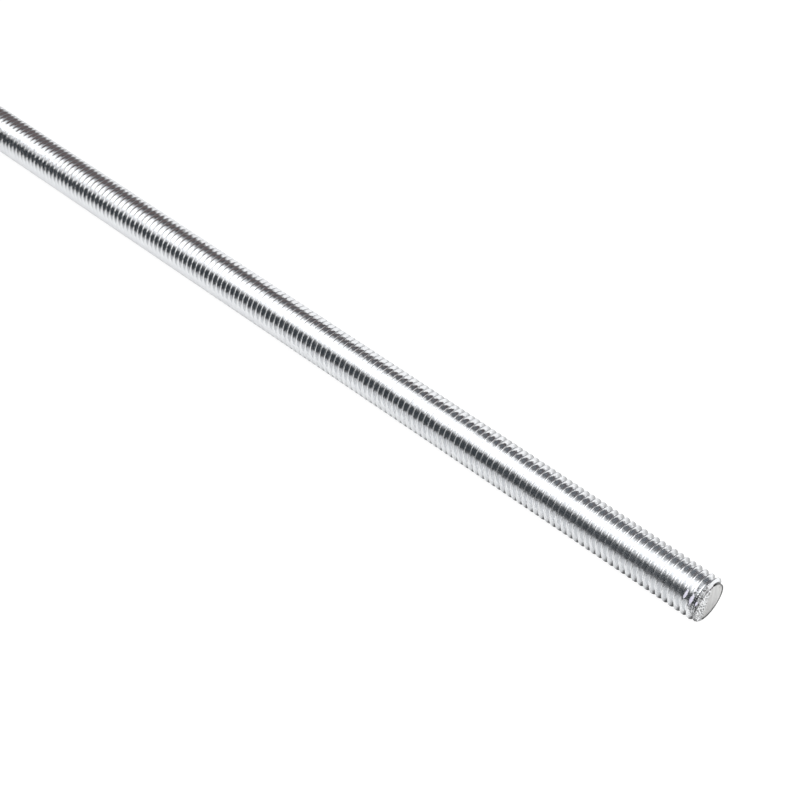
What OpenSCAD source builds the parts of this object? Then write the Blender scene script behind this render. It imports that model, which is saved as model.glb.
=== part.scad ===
/* [Rod] */
// Length of the cut piece, from end face to end face
rod_length = 250; // [100:1:300]
// Nominal diameter of the thread
nominal_d = 10; // [9:0.1:12]
// Width of the 45 degree chamfer on each end
end_chamfer = 0.55; // [0.3:0.05:1.4]

/* [Thread] */
// Pitch, from one crest to the next
pitch = 1.5; // [1.2:0.05:1.75]
// Angle between the two flanks of one groove
flank_angle = 60; // [55:1:62]
// How far the crests stay under the nominal diameter, so that a nut runs freely
crest_allowance = 0.032; // [0:0.002:0.08]

/* [Quality] */
// Segments round one circle
segments = 72; // [32:8:128]

/* [Hidden] */
$fn = segments;

// The sharp triangle whose tip and foot are cut down to make the thread's profile
sharp_height = pitch / 2 / tan(flank_angle / 2);
crest_cut = sharp_height / 8;
root_radius = sharp_height / 6;
thread_depth = sharp_height - crest_cut - root_radius;

crest_r = (nominal_d - crest_allowance) / 2;
root_r = crest_r - thread_depth;
groove_tip_r = root_r - root_radius;

// The groove's drawn sides run on past the crests, so that each cut is open
groove_over = crest_cut;
groove_top_r = crest_r + groove_over;
groove_half_width = (groove_top_r - groove_tip_r) * tan(flank_angle / 2);

// Grooves are spaced evenly from the middle of the rod, the last one still inside the end
grooves_each_way = floor((rod_length / 2 - root_radius) / pitch);

// Half of the plain bar's long section: radius across, length upwards
module bar_section() {
  half = rod_length / 2;
  polygon([
    [0, -half],
    [crest_r - end_chamfer, -half],
    [crest_r, -half + end_chamfer],
    [crest_r, half - end_chamfer],
    [crest_r - end_chamfer, half],
    [0, half]
  ]);
}

// Section of one groove: two straight flanks that run into a round root
module groove_section() {
  flank_start_r = groove_tip_r + root_radius * cos(flank_angle / 2) / tan(flank_angle / 2);
  flank_start_half = root_radius * cos(flank_angle / 2);
  polygon([
    [flank_start_r, -flank_start_half],
    [groove_top_r, -groove_half_width],
    [groove_top_r, groove_half_width],
    [flank_start_r, flank_start_half]
  ]);
  translate([root_r + root_radius, 0])
    circle(r = root_radius);
}

// The rod is turned about its own axis, which lies along X
module threaded_rod() {
  color("silver")
    rotate([0, 90, 0])
      rotate_extrude()
        difference() {
          bar_section();
          for (turn = [-grooves_each_way : grooves_each_way])
            translate([0, turn * pitch])
              groove_section();
        }
}

threaded_rod();
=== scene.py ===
# %% [markdown]
# # A zinc plated threaded rod
#
# The object is one straight steel rod, threaded over its whole length and chamfered where it was
# cut. It lies on a white light table, and one end comes close to the camera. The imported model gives
# the rod's true size as a solid with level ring grooves. This lesson dresses it: it winds a real
# right-hand thread inside the same box, gives it a bright zinc finish, and lights it as a small
# product studio would.
#
# In the code the rod lies along X, and the end near the camera is at the high X side. The camera
# looks from the low Y side, and Z is up. An angle round the rod starts at the high Y side, behind
# the rod, and goes up over the top towards the viewer. All lengths are in metres.

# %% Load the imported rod
import math

import bpy
import numpy as np
from mathutils import Matrix, Vector


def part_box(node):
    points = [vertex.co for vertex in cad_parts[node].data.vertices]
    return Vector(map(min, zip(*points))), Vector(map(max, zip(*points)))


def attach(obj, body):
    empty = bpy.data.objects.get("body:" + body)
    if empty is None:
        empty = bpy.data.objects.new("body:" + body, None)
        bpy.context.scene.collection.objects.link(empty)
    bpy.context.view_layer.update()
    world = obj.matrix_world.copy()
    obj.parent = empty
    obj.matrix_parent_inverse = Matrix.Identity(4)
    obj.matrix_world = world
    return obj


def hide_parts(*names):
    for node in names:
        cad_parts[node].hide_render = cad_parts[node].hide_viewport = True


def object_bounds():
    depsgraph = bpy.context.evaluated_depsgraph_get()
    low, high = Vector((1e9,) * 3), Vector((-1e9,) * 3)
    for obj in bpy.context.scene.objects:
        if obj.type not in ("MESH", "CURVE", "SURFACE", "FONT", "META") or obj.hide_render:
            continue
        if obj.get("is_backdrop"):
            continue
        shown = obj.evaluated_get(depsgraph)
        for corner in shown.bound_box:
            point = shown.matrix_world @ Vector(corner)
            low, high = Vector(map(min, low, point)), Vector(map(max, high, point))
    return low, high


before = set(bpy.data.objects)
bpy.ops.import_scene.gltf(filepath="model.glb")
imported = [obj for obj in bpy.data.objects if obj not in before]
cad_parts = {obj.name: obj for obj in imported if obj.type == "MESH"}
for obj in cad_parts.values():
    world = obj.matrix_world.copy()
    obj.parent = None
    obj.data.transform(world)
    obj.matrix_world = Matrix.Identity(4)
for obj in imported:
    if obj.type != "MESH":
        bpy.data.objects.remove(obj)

cad_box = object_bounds()
print("packed box, low corner:", [round(c, 5) for c in cad_box[0]])
print("packed box, high corner:", [round(c, 5) for c in cad_box[1]])

# %% [markdown]
# ## The sizes of the thread
#
# A metric thread is a triangle of 60 degrees wound round the bar. Its tip is cut off by an eighth of
# the triangle's height, and the root is a round of a sixth of that height, which leaves a groove
# 17/24 of it deep. Everything follows from the pitch, so we write the pitch down once and work out
# the rest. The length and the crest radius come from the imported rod's own box, so the dressed rod
# can't grow out of it.

# %% Work out the thread's sizes
rod_low, rod_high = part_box("threaded_rod")
half_length = (rod_high[0] - rod_low[0]) / 2
crest_radius = min(rod_high[1] - rod_low[1], rod_high[2] - rod_low[2]) / 2

pitch = 1.5e-3
flank_tilt = math.radians(30)
sharp_height = pitch / 2 / math.tan(flank_tilt)
root_round = sharp_height / 6
thread_depth = sharp_height * 17 / 24
crest_half_flat = pitch / 16
crest_round = 0.085e-3
end_chamfer = 0.55e-3
end_face_radius = crest_radius - end_chamfer

print("rod length:", round(2 * half_length * 1000, 2), "mm")
print("crest diameter:", round(2 * crest_radius * 1000, 3), "mm")
print("thread depth:", round(thread_depth * 1000, 3), "mm")
print("turns of thread:", round(2 * half_length / pitch, 1))

# %% [markdown]
# ## One thread, seen in section
#
# Cut the rod along its axis and you see the same shape over and over: a narrow crest with rounded
# edges, a straight flank down, a round root, a straight flank up. We could draw this shape as a
# curve and sweep it along a helix with a Screw modifier, but then the ends would stop in open flaps.
# Instead we write the section as a function: give it the distance from the middle of a crest, and it
# gives back the radius. A surface that is a function can be bent, worn and cut off at will.

# %% The radius at a distance from the crest
fillet_start = crest_half_flat - crest_round * math.tan(flank_tilt)
fillet_end = fillet_start + crest_round * math.cos(flank_tilt)
root_start = pitch / 2 - root_round * math.cos(flank_tilt)


def section_radius(from_crest):
    """Radius of the thread's section, at a distance along the rod from the middle of a crest."""
    a = np.abs((from_crest / pitch + 0.5) % 1.0 - 0.5) * pitch
    on_fillet = np.clip(a - fillet_start, 0, crest_round)
    fillet = crest_radius - crest_round + np.sqrt(np.maximum(crest_round**2 - on_fillet**2, 0))
    flank = crest_radius - (a - crest_half_flat) / math.tan(flank_tilt)
    to_root = np.clip(pitch / 2 - a, 0, root_round)
    root = crest_radius - thread_depth + root_round - np.sqrt(root_round**2 - to_root**2)
    out = np.where(a < fillet_start, crest_radius, np.where(a < fillet_end, fillet, flank))
    return np.where(a > root_start, root, out)


print("radius on the crest:", round(float(section_radius(0.0)) * 1000, 3), "mm")
print("radius in the root:", round(float(section_radius(pitch / 2)) * 1000, 3), "mm")

# %% [markdown]
# ## Winding the section round the bar
#
# A right-hand thread climbs by one pitch for every turn, in the way a normal nut advances. So at an
# angle round the rod, the crest is shifted along it by that part of a pitch. `crest_place` sets
# where the crests stand at the near end, so that the last thread runs out where the real one does.

# %% The thread as a surface
crest_place = 0.28


def distance_from_crest(x, angle):
    """Signed distance along the rod from the nearest crest, positive on its near-end side."""
    turns = (x - half_length) / pitch - angle / (2 * math.pi) - crest_place
    return ((turns + 0.5) % 1.0 - 0.5) * pitch


print("crests are shifted along the rod by", round(crest_place * pitch * 1000, 2), "mm")

# %% [markdown]
# ## Knocks on the last threads
#
# The end that is handled most has lost its clean edges. In the photograph the last crests have
# short bright flats on the side that faces the camera. We take a little metal off at these places.
# Each knock is a smooth dip along the thread, so it stays a flat on the crest and doesn't turn into
# a hole. It is deeper on the crest's near side, as a blow from the end would leave it.

# %% Small flats knocked into the crests
knocks = [
    # distance from the near end, angle round the rod in degrees, length in degrees, depth
    (-1.65e-3, 148.0, 26.0, 0.09e-3),
    (-3.15e-3, 145.0, 22.0, 0.08e-3),
    (-0.75e-3, 124.0, 20.0, 0.06e-3),
]
knocked_stretch = 6e-3
full_depth_share = 1.25
facet_start = 0.05e-3
facet_slope = 0.8


def knocked_off(x, angle):
    """How much metal is missing at a place near the end."""
    along = distance_from_crest(x, angle)
    lost = np.zeros_like(x)
    for place, middle, spread, depth in knocks:
        turn = np.abs((angle - math.radians(middle) + math.pi) % (2 * math.pi) - math.pi)
        fade = np.clip(full_depth_share - turn / math.radians(spread / 2), 0, 1)
        near = np.abs(x - half_length - place) < pitch * 0.5
        facet = depth + np.maximum(along + facet_start, 0) * facet_slope
        lost = np.maximum(lost, np.where(near, fade * facet, 0))
    return lost


def thread_radius(x, angle):
    """Radius of the worn thread at any place on the rod."""
    sound = section_radius(distance_from_crest(x, angle))
    flat = crest_radius - knocked_off(x, angle)
    return np.where(x > half_length - knocked_stretch, np.minimum(sound, flat), sound)


print("knocks on the last threads:", len(knocks))

# %% [markdown]
# ## A grid that follows the thread
#
# A plain grid of rings and columns would cut across the crests, and they would look like saw teeth.
# So our rows run along the thread: nine rows share one pitch, one at each bend of the section, and
# each row climbs with the helix. When a row has gone once round, it meets the same row of the next
# turn, and the whole thread is one long ribbon with no seam. We lay out a few turns more than the
# rod has, because the flat end faces will be made from them.

# %% Lay out the grid
columns = 60
row_places = np.array([
    -fillet_end,
    -(fillet_start + crest_round * 0.5),
    -fillet_start,
    fillet_start,
    fillet_start + crest_round * 0.5,
    fillet_end,
    root_start,
    pitch / 2,
    pitch - root_start,
])
rows_per_turn = len(row_places)
spare_turns = 4
turns_each_way = int(half_length / pitch) + spare_turns

turn_numbers = np.arange(-turns_each_way, turns_each_way + 1)
row_x = (turn_numbers[:, None] * pitch + row_places[None, :]).ravel()
angles = 2 * math.pi * np.arange(columns) / columns
shift = half_length % pitch + crest_place * pitch
grid_x = row_x[:, None] + angles[None, :] / (2 * math.pi) * pitch + shift
grid_angle = np.broadcast_to(angles[None, :], grid_x.shape).copy()
print("grid:", grid_x.shape[0], "rows of", columns, "points")

# %% [markdown]
# ## The chamfer at each end
#
# The rod was sheared to length and given a chamfer of 45 degrees, so that a nut starts easily. The
# near end's chamfer is torn by the cut, and its edge wanders a little. We add up some waves round
# the rod with random sizes, from a generator with a fixed seed, so each run gives the same edge. The
# far end isn't in the photograph, and is finished cleanly.

# %% The largest radius that a chamfer leaves
ragged_rng = np.random.default_rng(7)
ragged = ragged_rng.normal(0, 1, (64, 3))
first_wave, last_wave = 3, 25
torn_size = 0.009e-3


def torn_edge(angle):
    """A wandering amount for the near end's chamfer, the same on every run."""
    out = np.zeros_like(angle)
    for k, (a, b, _) in enumerate(ragged[first_wave:last_wave + 1], start=first_wave):
        out += (a * np.cos(k * angle) + b * np.sin(k * angle)) / math.sqrt(k)
    return out * torn_size


def chamfer_radius(x, angle):
    """Largest radius that the end chamfers leave."""
    to_end = half_length - np.abs(x)
    near_end = x > 0
    return end_face_radius + to_end + np.where(near_end, torn_edge(angle), 0)


wandering = np.abs(torn_edge(angles)).max()
print("the torn edge wanders by up to", round(float(wandering) * 1000, 3), "mm")

# %% [markdown]
# ## Cutting the ends
#
# The thread runs past both ends, and has to be cut back to the sheared face and its chamfer. A
# boolean would do it, but on such a fine mesh it is slow and leaves slivers. Because every point
# knows its own row, we can move points instead. What stands above the chamfer is pressed down onto
# it. The first point past the end in each column becomes the edge of the flat face, and the points
# behind it are folded in to the middle, in smaller and smaller circles. The spare turns see to it
# that the fold gets all the way to the middle and leaves no hole there.

# %% Press the points onto the chamfer and the end faces
past_end = np.abs(grid_x) - half_length
cut_x = np.clip(grid_x, -half_length, half_length)
first_past = np.zeros_like(grid_x)
for side in (1, -1):
    beyond = grid_x * side > half_length
    lowest = np.where(beyond, past_end, np.inf).min(axis=0)
    first_past = np.where(beyond, lowest[None, :], first_past)
worn = thread_radius(cut_x, grid_angle)
limit = chamfer_radius(cut_x, grid_angle)
grid_radius = np.minimum(worn, limit)

fold_length = 1.2 * pitch
fold = np.clip(1 - np.maximum(past_end - first_past, 0) / fold_length, 0, 1)
grid_radius = np.where(past_end > 0, grid_radius * fold, grid_radius)
print("points on the end faces:", int((past_end > 0).sum()))

# %% [markdown]
# ## From the grid to a mesh
#
# Now we join the points into faces. The last column of a row meets the first column of the row one
# whole turn further on, which is what makes it a helix. Points that fell on the same spot are
# merged, and faces that have shrunk to nothing are dropped.

# %% Join the points into faces
points = np.stack([
    cut_x,
    grid_radius * np.cos(grid_angle),
    grid_radius * np.sin(grid_angle),
], axis=-1).reshape(-1, 3)
index = np.arange(len(points)).reshape(-1, columns)
next_column = np.full_like(index, -1)
next_column[:, :-1] = index[:, 1:]
next_column[:-rows_per_turn, -1] = index[rows_per_turn:, 0]
quads = np.stack([index[:-1], next_column[:-1], next_column[1:], index[1:]], axis=-1)
quads = quads.reshape(-1, 4)
quads = quads[(quads >= 0).all(axis=1)]

merge_step = 2e-7
spots = np.round(points / merge_step).astype(np.int64)
_, first, same = np.unique(spots, axis=0, return_index=True, return_inverse=True)
vertices = points[first]
vertex_angle = grid_angle.ravel()[first]
quads = same.reshape(-1)[quads]

faces = []
for quad in quads.tolist():
    corners = []
    for v in quad:
        if v not in corners:
            corners.append(v)
    if len(corners) > 2:
        faces.append(corners)
print("points:", len(vertices), " faces:", len(faces))
print("triangles:", sum(len(f) - 2 for f in faces))

# %% [markdown]
# ## Is the rod closed?
#
# A solid thing has no holes in its skin. In a mesh, that means that every edge joins exactly two
# faces, so we count the edges that don't.

# %% Check that the mesh is closed
edge_ends = np.array([
    sorted((f[i], f[i - 1])) for f in faces for i in range(len(f))
])
_, uses = np.unique(edge_ends, axis=0, return_counts=True)
print("edges that don't join exactly two faces:", int((uses != 2).sum()))

# %% [markdown]
# ## Which faces are the flat ends?
#
# The faces whose corners all lie on an end plane get their own finish and must look perfectly
# flat. Blender keeps a normal for every corner of every face, so we also list the corners: which
# face and which point each belongs to.

# %% Hand the mesh to Blender and find the end faces
rod_mesh = bpy.data.meshes.new("rod_thread")
rod_mesh.from_pydata(vertices.tolist(), [], faces)
rod_mesh.update()
face_normals = np.zeros(len(faces) * 3)
rod_mesh.polygons.foreach_get("normal", face_normals)
face_normals = face_normals.reshape(-1, 3)

corner_counts = np.array([len(f) for f in faces])
corner_face = np.repeat(np.arange(len(faces)), corner_counts)
corner_vertex = np.concatenate([np.array(f) for f in faces])
first_corner = np.concatenate([[0], np.cumsum(corner_counts)[:-1]])

end_tolerance = 1e-7
vx = vertices[:, 0]
least_out = np.minimum.reduceat(np.abs(vx[corner_vertex]), first_corner)
on_face = least_out > half_length - end_tolerance
face_side = np.sign(vx[corner_vertex[first_corner]])
face_normals[on_face] = 0
face_normals[on_face, 0] = face_side[on_face]

first_points = vertices[corner_vertex[first_corner]]
lean_out = (face_normals[:, 1:] * first_points[:, 1:]).sum(axis=1)
print("faces on the two cut ends:", int(on_face.sum()))
print("share of the other faces that look outward:", float((lean_out[~on_face] > 0).mean()))

# %% [markdown]
# ## Shading normals that know the surface
#
# Smooth shading averages the faces round a point, and on a narrow crest that average is wrong: the
# flanks would look bent. We know the true surface, so we can work out each point's normal from the
# slope of the section, which we measure by taking a small step along the rod and one round it. On
# the chamfer the true normal simply leans out by 45 degrees.

# %% Normals from the slope of the thread
step_x = 2e-6
step_angle = 5e-4
least_radius = 1e-4
ahead, behind = (thread_radius(vx + step, vertex_angle) for step in (step_x, -step_x))
slope_x = (ahead - behind) / (2 * step_x)
ahead, behind = (thread_radius(vx, vertex_angle + step) for step in (step_angle, -step_angle))
slope_angle = (ahead - behind) / (2 * step_angle)
vertex_radius = np.hypot(vertices[:, 1], vertices[:, 2])
around = slope_angle / np.maximum(vertex_radius, least_radius)
cos_angle, sin_angle = np.cos(vertex_angle), np.sin(vertex_angle)
thread_normals = np.stack([
    -slope_x,
    cos_angle + around * sin_angle,
    sin_angle - around * cos_angle,
], axis=-1)
thread_normals /= np.linalg.norm(thread_normals, axis=1)[:, None]
chamfer_normals = np.stack([np.sign(vx), cos_angle, sin_angle], axis=-1) / math.sqrt(2)
print("steepest slope of the thread:", round(float(np.abs(slope_x).max()), 2))

# %% [markdown]
# ## One normal for each corner
#
# Near an end, a corner takes whichever of the two normals fits its face better. Where a face turns
# sharply away from both, as at the rim of the end face, it keeps its own and the edge stays crisp.

# %% Choose a normal for every corner
sharp_turn = math.radians(33)
chamfer_margin = 0.05e-3

own = face_normals[corner_face]
at_corner = thread_normals[corner_vertex]
on_chamfer = chamfer_normals[corner_vertex]
near_an_end = half_length - np.abs(vx[corner_vertex]) < end_chamfer + chamfer_margin
agree = (at_corner * own).sum(axis=1)
agree_chamfer = (on_chamfer * own).sum(axis=1)
use_chamfer = near_an_end & (agree_chamfer > agree)
at_corner = np.where(use_chamfer[:, None], on_chamfer, at_corner)
agree = np.maximum(agree, np.where(near_an_end, agree_chamfer, -1))
keep_own = (agree < math.cos(sharp_turn)) | on_face[corner_face]
corner_normals = np.where(keep_own[:, None], own, at_corner)
rod_mesh.polygons.foreach_set("use_smooth", np.ones(len(faces), dtype=bool))
rod_mesh.normals_split_custom_set(corner_normals.tolist())
print("corners with a worked-out normal:", int((~keep_own).sum()), "of", len(corner_vertex))

# %% [markdown]
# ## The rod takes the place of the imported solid
#
# The new mesh is one object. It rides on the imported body, so it would move with it, and it replaces
# the plain solid, which stays in the model for weight and contact.

# %% Put the rod in the frame
rod = bpy.data.objects.new("zinc_plated_rod", rod_mesh)
bpy.context.scene.collection.objects.link(rod)
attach(rod, "root")
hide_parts("threaded_rod")
print("piece:", rod.name)

# %% [markdown]
# ## Short ways to write nodes
#
# A material is a small network: nodes that work something out, and links that carry the result on.
# Most of our nodes are of the same few kinds, so we write one short function for each kind. It takes
# the network, called the tree, and the node's inputs, which may be plain values or the outputs of
# other nodes, and gives back the node's own output.

# %% Helpers for the common nodes


def feed(tree, socket, value):
    """Set a socket to a plain value, or link another node's output to it."""
    if isinstance(value, bpy.types.NodeSocket):
        tree.links.new(value, socket)
    else:
        socket.default_value = value


def number(tree, operation, *values):
    """A sum with numbers."""
    node = tree.nodes.new("ShaderNodeMath")
    node.operation = operation
    for socket, value in zip(node.inputs, values):
        feed(tree, socket, value)
    return node.outputs["Value"]


def arrow(tree, operation, first, second=None):
    """A sum with vectors. The second input of a SCALE is a number."""
    node = tree.nodes.new("ShaderNodeVectorMath")
    node.operation = operation
    feed(tree, node.inputs[0], first)
    if second is not None:
        feed(tree, node.inputs["Scale" if operation == "SCALE" else 1], second)
    return node.outputs["Value" if operation in ("DOT_PRODUCT", "LENGTH") else "Vector"]


def ramp(tree, value, start, end, at_start=0.0, at_end=1.0):
    """Turn a value that runs from start to end into one that runs between two others."""
    node = tree.nodes.new("ShaderNodeMapRange")
    feed(tree, node.inputs["Value"], value)
    feed(tree, node.inputs["From Min"], start)
    feed(tree, node.inputs["From Max"], end)
    feed(tree, node.inputs["To Min"], at_start)
    feed(tree, node.inputs["To Max"], at_end)
    return node.outputs["Result"]


def mix(tree, kind, share, a, b):
    """Mix two numbers (FLOAT), colours (RGBA) or directions (VECTOR); share 0 gives a, 1 gives b."""
    node = tree.nodes.new("ShaderNodeMix")
    node.data_type = kind
    feed(tree, node.inputs["Factor"], share)
    feed(tree, node.inputs["A"], a)
    feed(tree, node.inputs["B"], b)
    return node.outputs["Result"]


noise_average = 0.5


def noise(tree, place, scale, detail, roughness=0.5):
    """A cloudy value between 0 and 1."""
    node = tree.nodes.new("ShaderNodeTexNoise")
    feed(tree, node.inputs["Vector"], place)
    feed(tree, node.inputs["Scale"], scale)
    feed(tree, node.inputs["Detail"], detail)
    feed(tree, node.inputs["Roughness"], roughness)
    return node.outputs["Fac"]


def bump(tree, height, distance, normal=None):
    """Tilt the surface as if it had this height, on top of a normal that is already tilted."""
    node = tree.nodes.new("ShaderNodeBump")
    feed(tree, node.inputs["Strength"], 1.0)
    feed(tree, node.inputs["Distance"], distance)
    feed(tree, node.inputs["Height"], height)
    if normal is not None:
        feed(tree, node.inputs["Normal"], normal)
    return node.outputs["Normal"]


print("node helpers:", [f.__name__ for f in (number, arrow, ramp, mix, noise, bump)])

# %% [markdown]
# ## Places on the rod, and node groups
#
# The finish has to stay on the metal when the rod moves, so all its nodes read Object coordinates,
# which are fixed to the mesh. An effect that is used more than once gets a node group. We build it
# once, give it named inputs and outputs, and set its inputs wherever we place it.

# %% Helpers for places and groups
axis_direction = (1.0, 0.0, 0.0)
across_the_axis = (0.0, 1.0, 1.0)


def rod_place(tree):
    """Where a point is on the rod."""
    return tree.nodes.new("ShaderNodeTexCoord").outputs["Object"]


def split_xyz(tree, place):
    """The three parts of a place."""
    node = tree.nodes.new("ShaderNodeSeparateXYZ")
    feed(tree, node.inputs["Vector"], place)
    return node.outputs["X"], node.outputs["Y"], node.outputs["Z"]


def from_axis(tree, place):
    """The way from the rod's middle line straight out to a place."""
    return arrow(tree, "MULTIPLY", place, across_the_axis)


def new_group(name, inputs, outputs):
    """A node group with named inputs and outputs: the group, what comes in, and what goes out."""
    group = bpy.data.node_groups.new(name, "ShaderNodeTree")
    for label, kind, value in inputs:
        socket = group.interface.new_socket(label, in_out="INPUT", socket_type=kind)
        socket.default_value = value
    for label, kind in outputs:
        group.interface.new_socket(label, in_out="OUTPUT", socket_type=kind)
    start = group.nodes.new("NodeGroupInput")
    end = group.nodes.new("NodeGroupOutput")
    return group, start.outputs, end.inputs


def place_group(tree, group, values=()):
    """Place a group in a material with its own values, and give back its outputs."""
    node = tree.nodes.new("ShaderNodeGroup")
    node.node_tree = group
    for label, value in dict(values).items():
        feed(tree, node.inputs[label], value)
    return node.outputs


print("group helpers:", [f.__name__ for f in (new_group, place_group)])

# %% [markdown]
# ## Grain and tool streaks
#
# The plated thread and the cut end face are different finishes, but both have the fine grain of the
# zinc, and both have faint streaks left by a tool: the rolling dies on the thread, the shear on the
# face. A noise that is stretched in one direction makes the streaks, and a finer one the grain.

# %% A node group for grain and tool streaks
grain_group, given, result = new_group(
    "tool_streaks_and_grain",
    [
        ("Stretch", "NodeSocketVector", (1.0, 1.0, 1.0)),
        ("Streak Scale", "NodeSocketFloat", 1000.0),
        ("Grain Scale", "NodeSocketFloat", 9000.0),
        ("Grain Share", "NodeSocketFloat", 0.3),
    ],
    [("Height", "NodeSocketFloat"), ("Mottle", "NodeSocketFloat")],
)
place = rod_place(grain_group)
stretched = arrow(grain_group, "MULTIPLY", place, given["Stretch"])
streaks = noise(grain_group, stretched, given["Streak Scale"], detail=3.0)
grain = noise(grain_group, place, given["Grain Scale"], detail=2.0)
height = mix(grain_group, "FLOAT", given["Grain Share"], streaks, grain)
feed(grain_group, result["Height"], height)
feed(grain_group, result["Mottle"], streaks)
print("node group:", grain_group.name, "with", len(grain_group.nodes), "nodes")

# %% [markdown]
# ## Waves round the rod
#
# Rolling dies press the thread in small steps, so the surface is very slightly wavy round the rod.
# The eye can't see the waves, but they tilt the metal a few degrees one way and the other, and that
# frays the edges of every reflection. A bump would also tilt the surface along the rod and blur the
# fine lines on the crests. So we tilt the normal only in the direction round the rod: the cross
# product of the rod's axis and the way out from it. Long waves and short ripples are added up.

# %% A node group that tilts the surface round the rod
wave_group, given, result = new_group(
    "waves_round_the_rod",
    [
        ("Waves", "NodeSocketFloat", 0.1),
        ("Wave Stretch", "NodeSocketVector", (1000.0, 500.0, 500.0)),
        ("Ripples", "NodeSocketFloat", 0.05),
        ("Ripple Stretch", "NodeSocketVector", (4000.0, 2500.0, 2500.0)),
    ],
    [("Normal", "NodeSocketVector")],
)
place = rod_place(wave_group)


def tilt_amount(stretch, amount):
    """A noise round zero, stretched by one input of the group and scaled by another."""
    stretched = arrow(wave_group, "MULTIPLY", place, stretch)
    cloudy = noise(wave_group, stretched, scale=1.0, detail=1.0)
    centred = number(wave_group, "SUBTRACT", cloudy, noise_average)
    return number(wave_group, "MULTIPLY", centred, amount)


waves = tilt_amount(given["Wave Stretch"], given["Waves"])
ripples = tilt_amount(given["Ripple Stretch"], given["Ripples"])
tilt = number(wave_group, "ADD", waves, ripples)
way_out = arrow(wave_group, "NORMALIZE", from_axis(wave_group, place))
way_round = arrow(wave_group, "CROSS_PRODUCT", axis_direction, way_out)
tilted = arrow(wave_group, "SCALE", way_round, tilt)
level = wave_group.nodes.new("ShaderNodeNewGeometry").outputs["Normal"]
wavy_normal = arrow(wave_group, "NORMALIZE", arrow(wave_group, "ADD", level, tilted))
feed(wave_group, result["Normal"], wavy_normal)
print("node group:", wave_group.name, "with", len(wave_group.nodes), "nodes")

# %% [markdown]
# ## Where the cut tore the metal
#
# The last two millimetres are rougher than the rest. The blade dragged the metal over the chamfer on
# the side that faces the viewer. Behind the top, the floor of the last groove gets a painted shade, a
# dark colour where it lies in shadow. Both follow from the place on the rod, so one group measures
# how near a point is to the photographed end and how far it is from the middle line. It gives back a
# mask for the torn metal and one for the painted groove shade, the noise that makes the metal ragged,
# and the dark specks that lie in its pits.

# %% A node group for the torn end and the painted shade in its last groove
torn_group, given, result = new_group(
    "torn_end_and_groove_shade",
    [
        ("Torn Length", "NodeSocketFloat", 1.6e-3),
        ("Groove Shade Inside Radius", "NodeSocketFloat", 4.3e-3),
        ("Groove Shade Length", "NodeSocketFloat", 0.5e-3),
    ],
    [
        ("Torn", "NodeSocketFloat"),
        ("Groove Shade", "NodeSocketFloat"),
        ("Rag", "NodeSocketFloat"),
        ("Specks", "NodeSocketFloat"),
    ],
)
rag_scale = 2600.0
viewer_side_start, viewer_side_full = 0.1, 0.35
pit_start, pit_full = 0.49, 0.42
groove_shade_behind, groove_shade_above = 0.6e-3, 1.0e-3

place = rod_place(torn_group)
x, y, z = split_xyz(torn_group, place)
from_end = number(torn_group, "SUBTRACT", half_length, x)
nearness = number(torn_group, "DIVIDE", from_end, given["Torn Length"])
torn_share = number(torn_group, "SUBTRACT", 1.0, nearness)
to_viewer = number(torn_group, "MULTIPLY", y, -1 / crest_radius)
viewer_side = ramp(torn_group, to_viewer, viewer_side_start, viewer_side_full)
torn = ramp(torn_group, number(torn_group, "MULTIPLY", torn_share, viewer_side), 0.0, 1.0)

# Painted shade: a dark mask for the floor of the last groove, behind the top of the near end.
radius = arrow(torn_group, "LENGTH", from_axis(torn_group, place))
groove_shade = number(torn_group, "LESS_THAN", radius, given["Groove Shade Inside Radius"])
for one_limit in (
    number(torn_group, "LESS_THAN", from_end, given["Groove Shade Length"]),
    number(torn_group, "GREATER_THAN", y, groove_shade_behind),
    number(torn_group, "GREATER_THAN", z, groove_shade_above),
):
    groove_shade = number(torn_group, "MULTIPLY", groove_shade, one_limit)

rag = noise(torn_group, place, rag_scale, detail=3.0)
pits = ramp(torn_group, rag, pit_start, pit_full)
specks = number(torn_group, "MULTIPLY", pits, number(torn_group, "SQRT", torn))
for label, value in (("Torn", torn), ("Groove Shade", groove_shade), ("Rag", rag), ("Specks", specks)):
    feed(torn_group, result[label], value)
print("node group:", torn_group.name, "with", len(torn_group.nodes), "nodes")

# %% [markdown]
# ## Bright flats where the crests were knocked
#
# A knock leaves a tiny flat on the shoulder of the crest. It is flat, so all of it faces the same
# way and it flashes as a whole where it sees the lamp. This group gives the share of such a flat at
# any point: one inside a long narrow oval that lies along the thread, zero outside. Its outline is
# disturbed by a noise, so it doesn't look drawn.

# %% A node group for one knocked flat
flat_group, given, result = new_group(
    "knocked_flat",
    [
        ("Middle", "NodeSocketVector", (0.0, 0.0, 0.0)),
        ("Along", "NodeSocketVector", (0.0, 1.0, 0.0)),
        ("Half Length", "NodeSocketFloat", 0.8e-3),
        ("Half Width", "NodeSocketFloat", 0.2e-3),
        ("Rag", "NodeSocketFloat", 0.5),
    ],
    [("Share", "NodeSocketFloat")],
)
outline_rag = 1.6
outline_outside, outline_inside = 1.3, 0.7


def square(value):
    """A number times itself, in the group for the flats."""
    return number(flat_group, "MULTIPLY", value, value)


offset = arrow(flat_group, "SUBTRACT", rod_place(flat_group), given["Middle"])
along = arrow(flat_group, "DOT_PRODUCT", offset, given["Along"])
reach = arrow(flat_group, "LENGTH", offset)
across_squared = number(flat_group, "SUBTRACT", square(reach), square(along))
across = number(flat_group, "SQRT", number(flat_group, "MAXIMUM", across_squared, 0.0))
in_length = number(flat_group, "DIVIDE", along, given["Half Length"])
in_width = number(flat_group, "DIVIDE", across, given["Half Width"])
oval = number(flat_group, "ADD", square(in_length), square(in_width))
uneven = number(flat_group, "SUBTRACT", given["Rag"], noise_average)
ragged_oval = number(flat_group, "MULTIPLY_ADD", uneven, outline_rag, oval)
share = ramp(flat_group, ragged_oval, outline_outside, outline_inside)
feed(flat_group, result["Share"], share)
print("node group:", flat_group.name, "with", len(flat_group.nodes), "nodes")
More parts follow.
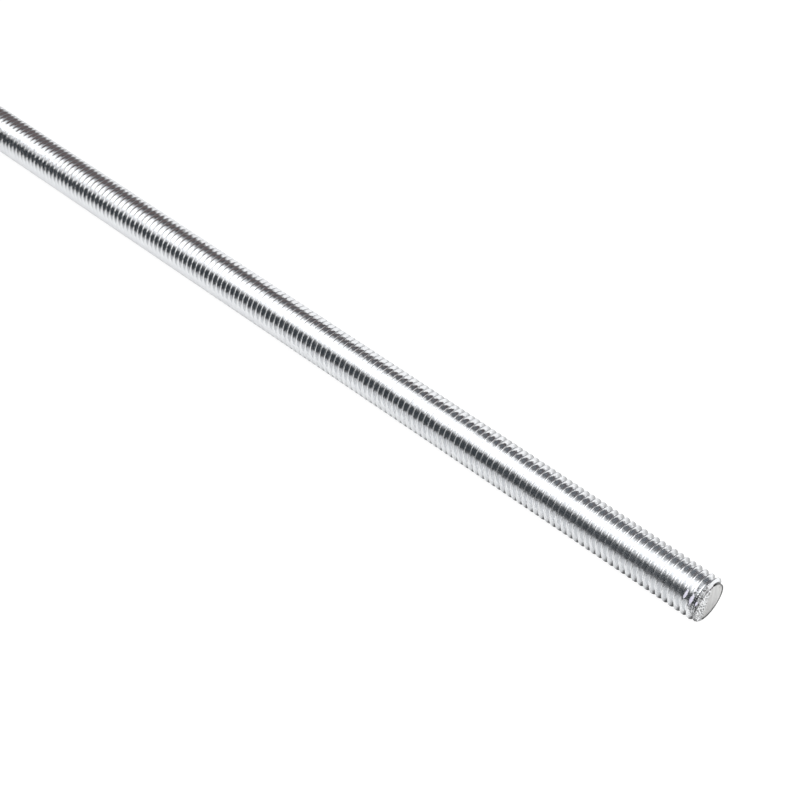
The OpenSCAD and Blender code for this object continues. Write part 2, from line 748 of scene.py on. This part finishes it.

# %% [markdown]
# ## Bright zinc on the thread: its colour
#
# Bright zinc plate is a thin, nearly mirror-like metal layer. It takes most of its look from what it
# reflects: white where it sees the lamp, nearly black where it sees the dark room. A metal shader
# with a low roughness does that. Its own colour only varies a little between two cool greys, along
# the tool's streaks. The painted shade in the last groove, and the specks in the torn metal, are
# close to black.

# %% The plated thread's colour


def bare_material(name):
    """A new material, its node tree and its Principled BSDF."""
    made = bpy.data.materials.new(name)
    made.use_nodes = True
    return made, made.node_tree, made.node_tree.nodes["Principled BSDF"]


darker_zinc, lighter_zinc = (0.66, 0.67, 0.69, 1), (0.78, 0.79, 0.80, 1)
groove_shade_and_speck_black = (0.09, 0.09, 0.09, 1)
torn_grey = 0.5

plated, tree, metal = bare_material("bright_zinc_thread")
metal.inputs["Metallic"].default_value = 1.0
place = rod_place(tree)
streaked = place_group(tree, grain_group, {
    "Stretch": (1.0, 0.22, 0.22),
    "Streak Scale": 1500.0,
    "Grain Share": 0.25,
})
end_marks = place_group(tree, torn_group)
zinc = mix(tree, "RGBA", streaked["Mottle"], darker_zinc, lighter_zinc)
# Painted groove shade, joined with the dark specks of the torn metal.
groove_shade_and_specks = number(tree, "MAXIMUM", end_marks["Groove Shade"], end_marks["Specks"])
greyed = number(tree, "MULTIPLY_ADD", end_marks["Torn"], torn_grey, groove_shade_and_specks)
zinc_with_shade_and_specks = mix(tree, "RGBA", greyed, zinc, groove_shade_and_speck_black)
print("material:", plated.name)

# %% [markdown]
# ## Where hands have dulled the zinc
#
# The roughness follows what has touched the rod. The streaks make it vary a little everywhere. From
# the middle on, handling has scuffed the crests, which stand proud, while the flanks and grooves
# stay bright. Close to the near end the whole surface is rubbed to the same soft shine, so there the
# crests differ less from the rest. Each of these is a ramp along the rod.

# %% The plated thread's roughness
smooth_roughness, streak_roughness = 0.08, 0.14
mottle_band = (0.3, 0.7)
scuffed_roughness = 0.46
rubbed_roughness, rubbed_share = 0.25, 0.75
crest_band = (crest_radius - 0.050e-3, crest_radius - 0.020e-3)
handled_from, handled_to = -0.02, 0.05
rubbed_from, rubbed_to = 0.06, 0.115

x, _, _ = split_xyz(tree, place)
plain = ramp(tree, streaked["Mottle"], *mottle_band, smooth_roughness, streak_roughness)
radius = arrow(tree, "LENGTH", from_axis(tree, place))
on_crest = ramp(tree, radius, *crest_band)
handled = ramp(tree, x, handled_from, handled_to)
rubbed = number(tree, "MULTIPLY", ramp(tree, x, rubbed_from, rubbed_to), rubbed_share)
crest_share = number(tree, "MULTIPLY", handled, number(tree, "SUBTRACT", 1.0, rubbed))
scuffed_share = number(tree, "MULTIPLY", on_crest, crest_share)
scuffed = mix(tree, "FLOAT", scuffed_share, plain, scuffed_roughness)
dulled = mix(tree, "FLOAT", rubbed, scuffed, rubbed_roughness)
feed(tree, metal.inputs["Roughness"], dulled)
print("scuffed crests from x =", handled_from, "m, rubbed from x =", rubbed_from, "m")

# %% [markdown]
# ## The plated thread's small slopes
#
# Three things tilt the metal. The waves round the rod fray the edges of the reflections. On top of
# them a very low bump, a hundredth of a millimetre, gives the grain and the streaks, which run round
# the rod because a rolled surface is smooth along the thread. At the end a far higher bump lifts the
# torn metal into crumbs.

# %% The plated thread's normals
grain_height = 0.012e-3
crumb_height = 0.55e-3

wavy = place_group(tree, wave_group, {
    "Waves": 0.07,
    "Wave Stretch": (1100.0, 450.0, 450.0),
    "Ripples": 0.16,
    "Ripple Stretch": (3800.0, 2100.0, 2100.0),
})
uneven = bump(tree, streaked["Height"], grain_height, wavy["Normal"])
torn_height = number(tree, "MULTIPLY", end_marks["Torn"], end_marks["Rag"])
ragged_metal = bump(tree, torn_height, crumb_height, uneven)
print("bumps of", grain_height * 1000, "and", crumb_height * 1000, "mm")

# %% [markdown]
# ## Where the flats lie
#
# In the mesh the knocks took a little metal off. Now the finish follows: inside each flat the normal
# turns to one fixed direction, up and towards the viewer's side, and the zinc is bruised to a dull
# lavender grey. The flats are placed by counting turns in from the end, so they sit on the crests.

# %% The knocked flats on the plated thread
flat_facing = (0.16, -0.50, 0.85)
dark_bruise, pale_bruise = (0.15, 0.14, 0.19, 1), (0.50, 0.49, 0.56, 1)
below_crest = 0.12e-3
flat_places = [
    # turns in from the end, angle in degrees, distance from the crest, half length, half width
    (2, 147.0, 0.42e-3, 1.45e-3, 0.50e-3),
    (3, 143.0, 0.42e-3, 1.25e-3, 0.45e-3),
    (2, 122.0, 0.35e-3, 0.35e-3, 0.20e-3),
    (1, 148.0, 0.00e-3, 0.50e-3, 0.22e-3),
]

shares = []
for turns_in, degrees, off_crest, half_long, half_wide in flat_places:
    angle = math.radians(degrees)
    turns = crest_place + angle / (2 * math.pi) - turns_in
    radius = crest_radius - below_crest
    shares.append(place_group(tree, flat_group, {
        "Middle": (
            half_length + pitch * turns + off_crest,
            radius * math.cos(angle),
            radius * math.sin(angle),
        ),
        "Along": (0.0, -math.sin(angle), math.cos(angle)),
        "Half Length": half_long,
        "Half Width": half_wide,
        "Rag": end_marks["Rag"],
    })["Share"])
any_flat = shares[0]
for other in shares[1:]:
    any_flat = number(tree, "MAXIMUM", any_flat, other)

facing = mix(tree, "VECTOR", any_flat, ragged_metal, flat_facing)
bruise = mix(tree, "RGBA", end_marks["Rag"], dark_bruise, pale_bruise)
thread_colour = mix(tree, "RGBA", any_flat, zinc_with_shade_and_specks, bruise)
feed(tree, metal.inputs["Normal"], facing)
feed(tree, metal.inputs["Base Color"], thread_colour)
rod_mesh.materials.append(plated)
print("flats in the finish:", len(shares), " nodes in the material:", len(tree.nodes))

# %% [markdown]
# ## The sheared end face
#
# The cut face is dull and light grey, with faint marks from the blade. It is the same metal, but
# rougher, so it shows no clear reflection. It gets its own material and the same node group for
# grain and streaks, with other values. Along its rim, away from the viewer's side, the near face has
# a thin line of painted shade.

# %% The end face's colour and the painted shade on its rim
darker_cut, lighter_cut = (0.36, 0.36, 0.36, 1), (0.72, 0.72, 0.71, 1)
painted_rim_shade = (0.05, 0.05, 0.05, 1)
rim_band = (end_face_radius - 0.66e-3, end_face_radius - 0.38e-3)
rim_side_start, rim_side_full = -3.4e-3, -1.6e-3

sheared, tree, metal = bare_material("sheared_end_face")
metal.inputs["Metallic"].default_value = 1.0
place = rod_place(tree)
x, y, _ = split_xyz(tree, place)
marked = place_group(tree, grain_group, {
    "Stretch": (1.0, 1.0, 0.25),
    "Streak Scale": 1600.0,
    "Grain Scale": 7000.0,
    "Grain Share": 0.5,
})
cut_metal = mix(tree, "RGBA", marked["Mottle"], darker_cut, lighter_cut)
near_face = number(tree, "GREATER_THAN", x, 0.0)
radius = arrow(tree, "LENGTH", from_axis(tree, place))
# Painted shade: a thin dark line along the near face's rim, on the side away from the viewer.
rim = number(tree, "MULTIPLY", ramp(tree, radius, *rim_band), near_face)
rim = number(tree, "MULTIPLY", rim, ramp(tree, y, rim_side_start, rim_side_full))
cut_metal_with_rim_shade = mix(tree, "RGBA", rim, cut_metal, painted_rim_shade)
print("material:", sheared.name)

# %% [markdown]
# ## The torn side of the cut
#
# A shear doesn't cut a bar all the way through. It cuts one side cleanly, and then the rest breaks.
# So the side of the near face that is turned to the viewer is rough and speckled, and only the other
# side is smooth. The border between them wanders with the same noise that makes the chamfer ragged.
# The specks are a noise that is longer in the direction in which the blade dragged the metal. Two
# dot products measure the place along that direction and across it.

# %% The broken part of the end face
broken_pale, broken_dark = (0.82, 0.83, 0.84, 1), (0.07, 0.07, 0.07, 1)
to_broken_side = (0.0, -1.0, 0.25)
border_wander = 3.4e-3
border_start, border_full = 0.75e-3, 1.45e-3
along_drag, across_drag = (0.0, -540.0, 720.0), (0.0, 2200.0, 1650.0)
speck_start, speck_full = 0.52, 0.40

tear = place_group(tree, torn_group)
from_middle = arrow(tree, "DOT_PRODUCT", place, to_broken_side)
wander = number(tree, "SUBTRACT", tear["Rag"], noise_average)
border = number(tree, "MULTIPLY_ADD", wander, border_wander, from_middle)
broken = number(tree, "MULTIPLY", ramp(tree, border, border_start, border_full), near_face)

drag_place = tree.nodes.new("ShaderNodeCombineXYZ")
feed(tree, drag_place.inputs["X"], arrow(tree, "DOT_PRODUCT", place, along_drag))
feed(tree, drag_place.inputs["Y"], arrow(tree, "DOT_PRODUCT", place, across_drag))
drag_marks = noise(tree, drag_place.outputs["Vector"], scale=1.0, detail=3.0, roughness=0.65)
specks = ramp(tree, drag_marks, speck_start, speck_full)
speckled = mix(tree, "RGBA", specks, broken_pale, broken_dark)
feed(tree, metal.inputs["Base Color"], mix(tree, "RGBA", broken, cut_metal_with_rim_shade, speckled))
print("the broken part starts", border_start * 1000, "mm off the middle of the face")

# %% [markdown]
# ## How the cut face feels
#
# A finger would feel fine marks on the smooth part and crumbs on the broken one. The marks are a
# low bump, and the crumbs a bump ten times as high that follows the dark specks.

# %% The end face's roughness and normals
cut_roughness = (0.38, 0.55)
mark_height = 0.03e-3
lump_height = 0.32e-3

feed(tree, metal.inputs["Roughness"], ramp(tree, marked["Height"], 0.0, 1.0, *cut_roughness))
uneven = bump(tree, marked["Height"], mark_height)
lumps = number(tree, "MULTIPLY", broken, drag_marks)
feed(tree, metal.inputs["Normal"], bump(tree, lumps, lump_height, uneven))
rod_mesh.materials.append(sheared)
rod_mesh.polygons.foreach_set("material_index", on_face.astype(np.int32))
print("materials on the rod:", [made.name for made in rod_mesh.materials])

# %% [markdown]
# ## Panels for the studio
#
# The floor, the lamp and the sheets round the rod are all flat panels. Each has a simple map that
# runs from 0 to 1 across it in both directions, so that a glow can fade towards the edges.

# %% A helper for flat panels
four_corners = ((0, 0), (1, 0), (1, 1), (0, 1))


def flat_panel(name, corners, material, faces=((0, 1, 2, 3),), spots=four_corners):
    """A flat panel that belongs to the studio, not to the rod."""
    mesh = bpy.data.meshes.new(name)
    mesh.from_pydata(corners, [], faces)
    mesh.materials.append(material)
    across = mesh.uv_layers.new(name="across")
    for loop, corner in zip(mesh.loops, across.data):
        corner.uv = spots[loop.vertex_index]
    panel = bpy.data.objects.new(name, mesh)
    bpy.context.scene.collection.objects.link(panel)
    panel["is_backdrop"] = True
    return panel


print("a panel's map has", len(four_corners), "corners")

# %% [markdown]
# ## The light table
#
# The photograph has a pure white ground with hardly any shadow. Product studios get that from a
# light table: a white sheet that is lit from above and glows a little from below. It just touches
# the underside of the rod. The camera sees it as one even white. What the polished metal mirrors of
# it matters more, and there shade is painted into the table's colour and glow: in front the table
# fades to dark towards the room, under the rod a painted shadow stands for the contact shadow, and
# just behind the rod a painted shadow stands for the rod's own shade.

# %% Painted shade: how much light each place on the table gives to the metal
room_edge, table_edge, light_at_edge = -0.053, -0.004, 0.06
under_from, under_to, light_under = 0.0032, 0.0040, 0.15
shade_front, shade_start = 0.002, 0.006
shade_end, open_again, light_in_shade = 0.014, 0.025, 0.42
rod_end_band = (half_length - 0.5e-3, half_length + 1.5e-3)

white_sheet, tree, sheet = bare_material("light_table_sheet")
sheet.inputs["Roughness"].default_value = 0.9
sheet.inputs["Specular IOR Level"].default_value = 0.1
where = tree.nodes.new("ShaderNodeNewGeometry").outputs["Position"]
x, y, _ = split_xyz(tree, where)
off_line = number(tree, "ABSOLUTE", y)
off_middle = number(tree, "ABSOLUTE", x)
past_rod = ramp(tree, off_middle, *rod_end_band)

# Painted shade: darker towards the front, a painted shadow under the rod and one just behind it.
fade = ramp(tree, y, room_edge, table_edge, light_at_edge, 1.0)
not_under = ramp(tree, off_line, under_from, under_to, light_under, 1.0)
behind_shade = ramp(tree, y, shade_end, open_again, light_in_shade, 1.0)
before_shade = ramp(tree, y, shade_start, shade_front)
not_shaded = number(tree, "MAXIMUM", behind_shade, before_shade)
painted_table_light = fade
for open_share in (not_shaded, not_under):
    no_rod = number(tree, "MAXIMUM", open_share, past_rod)
    painted_table_light = number(tree, "MULTIPLY", painted_table_light, no_rod)
print("light just behind the rod:", light_in_shade, " under it:", light_under)

# %% [markdown]
# ## What the camera sees of the table
#
# The Light Path node tells camera rays from those that come off the metal. The first get an even
# white, and the others get the shares of light from the last step, with its painted shade.

# %% The table's material and the table
painted_shade_dark, sheet_white = (0.02, 0.02, 0.02, 1), (0.80, 0.80, 0.80, 1)
glow_full = (0.30, 0.30, 0.30, 1)
camera_sheet, camera_glow = (0.12, 0.12, 0.12, 1), (0.95, 0.95, 0.95, 1)
table_half_size = 4

by_camera = tree.nodes.new("ShaderNodeLightPath").outputs["Is Camera Ray"]
# The painted shade goes into both the table's colour and its glow, for rays off the metal only.
paper_with_painted_shade = mix(tree, "RGBA", painted_table_light, painted_shade_dark, sheet_white)
glow = mix(tree, "RGBA", painted_table_light, painted_shade_dark, glow_full)
feed(tree, sheet.inputs["Base Color"], mix(tree, "RGBA", by_camera, paper_with_painted_shade, camera_sheet))
feed(tree, sheet.inputs["Emission Color"], mix(tree, "RGBA", by_camera, glow, camera_glow))
sheet.inputs["Emission Strength"].default_value = 1.0

table_top = rod_low[2]
low, high = -table_half_size, table_half_size
light_table = flat_panel(
    "light_table",
    [(low, low, table_top), (high, low, table_top), (high, high, table_top), (low, high, table_top)],
    white_sheet,
)
print(light_table.name, "top at z =", round(table_top * 1000, 3), "mm")

# %% [markdown]
# ## Lights that are seen in the metal
#
# A shiny cylinder shows its surroundings as bands that run along it. So the lights are laid out by
# what each band has to reflect. The broad white band is a large soft lamp overhead. The dark band
# under it is the dark room in front, between the lamp's edge and the table. The grey band above it
# is the gap between the lamp and the backdrop, and the pale upper edge is the backdrop. A soft lamp
# has cloth in front, so each of them glows most in the middle and fades to a dimmer rim.

# %% A glow that fades towards the rim


def glowing_material(name, strength, rim, widths):
    """A glow that fades to its rim over a share of the panel's length and of its height."""
    made, tree, _ = bare_material(name)
    tree.nodes.clear()
    map_place = tree.nodes.new("ShaderNodeTexCoord").outputs["UV"]
    across, up, _ = split_xyz(tree, map_place)
    fades = []
    for place, width in zip((across, up), widths):
        from_edge = number(tree, "PINGPONG", place, 0.5)
        fade = ramp(tree, from_edge, 0.0, width)
        fade.node.interpolation_type = "SMOOTHSTEP"
        fades.append(fade)
    power = ramp(tree, number(tree, "MULTIPLY", *fades), 0.0, 1.0, rim, strength)
    glow = tree.nodes.new("ShaderNodeEmission")
    feed(tree, glow.inputs["Strength"], power)
    out = tree.nodes.new("ShaderNodeOutputMaterial")
    feed(tree, out.inputs["Surface"], glow.outputs["Emission"])
    return made


lamp_glow = glowing_material("lamp_glow", strength=2.75, rim=0.10, widths=(0.060, 0.50))
backdrop_glow = glowing_material("backdrop_glow", strength=1.2, rim=0.2, widths=(0.20, 0.50))
side_glow = glowing_material("side_glow", strength=1.3, rim=0.15, widths=(0.11, 0.25))
print("glows:", [made.name for made in (lamp_glow, backdrop_glow, side_glow)])

# %% [markdown]
# ## The lamp overhead
#
# The lamp is a flat panel along the rod. Seen from the rod's end, its edges stand at two angles, and
# those two angles decide how wide the white band is. Its left end decides something finer. The far
# crests lean their mirror image back along the rod and look past that end into the dark, which draws
# the thin dark lines in the far part of the band. The flanks mirror each other and look past it
# too, but only at the front, which would fray the band's lower edge. So the lamp's left end isn't
# straight: it has a bend, and reaches further left at the front.

# %% Lamp
lamp_distance, lamp_right = 0.70, 1.3
lamp_back_degrees, lamp_front_degrees = 47, 146.5
lamp_left_back, lamp_left_bend, lamp_left_front = -0.43, -0.365, -0.51
bend = 0.55


def round_the_rod(distance, degrees):
    """A place in the plane across the rod, at an angle from the level behind it, up over the top."""
    angle = math.radians(degrees)
    return Vector((distance * math.cos(angle), distance * math.sin(angle)))


back_edge = round_the_rod(lamp_distance, lamp_back_degrees)
front_edge = round_the_rod(lamp_distance, lamp_front_degrees)
bend_edge = back_edge.lerp(front_edge, bend)
lamp_corners = []
for left, edge in (
    (lamp_left_back, back_edge),
    (lamp_left_bend, bend_edge),
    (lamp_left_front, front_edge),
):
    lamp_corners += [(left, *edge), (lamp_right, *edge)]
lamp_over = flat_panel(
    "lamp_over",
    lamp_corners,
    lamp_glow,
    faces=((0, 1, 3, 2), (2, 3, 5, 4)),
    spots=((0, 0), (1, 0), (0, bend), (1, bend), (0, 1), (1, 1)),
)
print("lamp height over the rod:", round(bend_edge[1], 2), "m")

# %% [markdown]
# ## The backdrop and the side card
#
# The backdrop is low and stands behind the rod. Its glow runs round the upper outline. The side card
# stands beyond the near end. The rounded near edge of each crest sees it over the next crest, and
# that draws the fine white lines in the dark bands. The camera doesn't see any of the three panels.

# %% Backdrop and side card
backdrop_distance, backdrop_left, backdrop_right = 1.6, -1.5, 2.2
backdrop_low_degrees, backdrop_high_degrees = -14, 5
card_x, card_front, card_back, card_half_height = 1.2, -0.36, 0.40, 0.42

low_edge = round_the_rod(backdrop_distance, backdrop_low_degrees)
high_edge = round_the_rod(backdrop_distance, backdrop_high_degrees)
backdrop = flat_panel(
    "backdrop",
    [(backdrop_left, *low_edge), (backdrop_right, *low_edge),
     (backdrop_right, *high_edge), (backdrop_left, *high_edge)],
    backdrop_glow,
)
side_card = flat_panel(
    "side_card",
    [(card_x, card_front, -card_half_height), (card_x, card_back, -card_half_height),
     (card_x, card_back, card_half_height), (card_x, card_front, card_half_height)],
    side_glow,
)
for panel in (lamp_over, backdrop, side_card):
    panel.visible_camera = False
print("studio panels:", [panel.name for panel in (lamp_over, backdrop, side_card)])

# %% [markdown]
# ## The dark room
#
# What no panel covers is the room itself. It is nearly black in front of the table and a little
# lighter behind it. Its grey is cool in front and far to the left, and slightly red elsewhere, as
# the photograph's lines show. The camera must not see this darkness when it looks across the table,
# so camera rays get a plain white instead.

# %% World
dark_front, dark_back = -0.3, 0.6
strength_front, strength_back = 0.09, 0.29
cool_left, cool_front = (-0.08, -0.34), (-0.1, -0.5)
warm_grey, cool_grey, plain_white = (0.60, 0.50, 0.50, 1), (0.80, 0.90, 1.0, 1), (1, 1, 1, 1)

room = bpy.data.worlds.new("dark_room")
bpy.context.scene.world = room
room.use_nodes = True
tree = room.node_tree
room_light = tree.nodes["Background"]
x, y, _ = split_xyz(tree, tree.nodes.new("ShaderNodeTexCoord").outputs["Generated"])
by_camera = tree.nodes.new("ShaderNodeLightPath").outputs["Is Camera Ray"]
strength = ramp(tree, y, dark_front, dark_back, strength_front, strength_back)
feed(tree, room_light.inputs["Strength"], mix(tree, "FLOAT", by_camera, strength, 1.0))
to_left = ramp(tree, x, *cool_left)
to_viewer = ramp(tree, y, *cool_front)
cooler = number(tree, "MAXIMUM", to_left, to_viewer)
tint = mix(tree, "RGBA", cooler, warm_grey, cool_grey)
feed(tree, room_light.inputs["Color"], mix(tree, "RGBA", by_camera, tint, plain_white))
print("world:", room.name)

# %% [markdown]
# ## The camera
#
# The camera's place was worked out from the photograph: the two edges of the rod, the spacing of its
# threads and the ellipse of the end face fit only one lens and one place. The frame is square. We
# give the camera three directions, its own right, down and forward, measured in the rod's frame. A
# Blender camera looks along its own minus Z with Y up, so the last two change their signs.

# %% Camera
frame_pixels = 800
lens_in_pixels = 1722
sensor_width = 36.0

from_near_end = Vector((6.025, 3.928, 33.522)) * (2 * crest_radius)
rod_in_view = Vector((0.7189, 0.4811, -0.5017)).normalized()
up_in_view = Vector((0.0, -0.7218, -0.6921))
up_in_view = (up_in_view - up_in_view.dot(rod_in_view) * rod_in_view).normalized()
side_in_view = up_in_view.cross(rod_in_view)
turned = Matrix((rod_in_view, side_in_view, up_in_view))
eye = Vector((half_length, 0, 0)) - turned @ from_near_end

camera_data = bpy.data.cameras.new("camera")
camera = bpy.data.objects.new("camera", camera_data)
bpy.context.scene.collection.objects.link(camera)
right, down, forward = (turned.col[i] for i in range(3))
camera.matrix_world = Matrix((
    (right[0], -down[0], -forward[0], eye[0]),
    (right[1], -down[1], -forward[1], eye[1]),
    (right[2], -down[2], -forward[2], eye[2]),
    (0, 0, 0, 1),
))
camera_data.sensor_width = sensor_width
camera_data.lens = sensor_width * lens_in_pixels / frame_pixels
camera_data.clip_start = 0.01
camera_data.clip_end = 30
bpy.context.scene.camera = camera
bpy.context.scene.view_settings.view_transform = "Standard"
print("camera at", [round(c, 3) for c in eye], "lens", round(camera_data.lens, 1), "mm")

# %% [markdown]
# ## Does it still fit?
#
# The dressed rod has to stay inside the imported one. We write both boxes down and compare them.

# %% Compare the boxes
seen_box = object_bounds()
growth = [
    max(cad_box[0][i] - seen_box[0][i], seen_box[1][i] - cad_box[1][i]) * 1000 for i in range(3)
]
print("largest step outside the packed box, in mm:", [round(g, 4) for g in growth])
